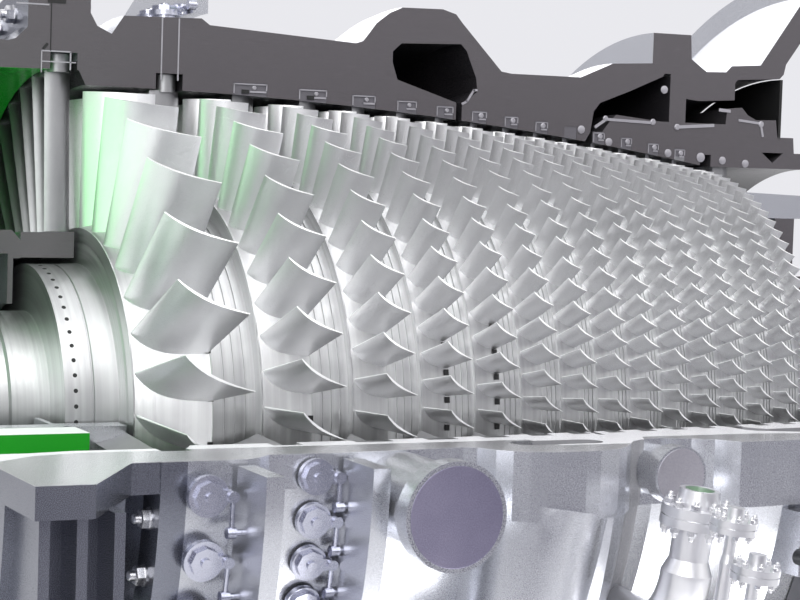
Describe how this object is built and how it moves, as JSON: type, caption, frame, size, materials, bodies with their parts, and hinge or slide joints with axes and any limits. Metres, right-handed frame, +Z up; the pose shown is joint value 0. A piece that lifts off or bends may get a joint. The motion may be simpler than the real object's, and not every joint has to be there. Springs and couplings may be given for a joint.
{
  "type": "gas turbine compressor section",
  "caption": "Cutaway axial compressor section of a gas turbine: bladed rotor turning in a split casing with one quarter removed, vane levers, ports and support cradles.",
  "frame": {"origin": "on the floor, under the middle of the bounding box", "axes": "+X along the rotor axis from the intake to the exit, -Y towards the side with the open quarter, +Z up"},
  "size_m": [1.312, 1.2726, 1.18],
  "materials": {
    "silver_paint": "metallic silver paint",
    "grey_paint": "dark grey satin paint on the cut castings",
    "green_paint": "green satin paint",
    "dark_paint": "dark grey paint",
    "blade_steel": "satin blades",
    "vane_steel": "satin vanes",
    "turned_steel": "finely turned",
    "bright_steel": "bright machined"
  },
  "bodies": {
    "casing": {"stator_rows_11_14": "vane_steel", "stator_rows_08_10": "vane_steel", "stator_rows_05_07": "vane_steel", "stator_rows_02_04": "vane_steel", "stator_row_01": "vane_steel", "inlet_guide_vanes": "vane_steel", "stator_levers": "bright_steel", "inlet_levers": "bright_steel", "intake_casing": "silver_paint", "intake_struts": "green_paint", "intake_hub": "green_paint", "inlet_vane_ring": "silver_paint", "front_casing_lower": "silver_paint", "front_casing_upper": "grey_paint", "rear_casing_lower": "silver_paint", "rear_casing_upper": "grey_paint", "carrier_lower": "silver_paint", "carrier_upper": "grey_paint", "exit_vanes": "vane_steel", "exit_hub": "silver_paint", "rear_bearing_plate": "grey_paint", "inlet_unison_ring": "bright_steel", "stator_unison_ring": "bright_steel", "blank_port_large": "silver_paint", "bleed_port": "silver_paint", "blank_port_small": "silver_paint", "side_blocks": "silver_paint", "pipe_large": "bright_steel", "pipe_medium": "bright_steel", "pipe_small": "bright_steel", "front_support": "dark_paint", "rear_support": "dark_paint"},
    "rotor": {"rotor_rows_14_15": "blade_steel", "rotor_rows_12_13": "blade_steel", "rotor_rows_10_11": "blade_steel", "rotor_rows_08_09": "blade_steel", "rotor_rows_06_07": "blade_steel", "rotor_row_05": "blade_steel", "rotor_row_04": "blade_steel", "rotor_row_03": "blade_steel", "rotor_row_02": "blade_steel", "rotor_row_01": "blade_steel", "shaft_front": "turned_steel", "rotor_drum": "turned_steel", "shaft_rear": "turned_steel"}
  },
  "joints": [
    {"name": "rotor_spin", "type": "hinge", "parent": "casing", "child": "rotor", "pos_m": [0, 0, 0.64], "axis": [1, 0, 0], "continuous": true}
  ]
}
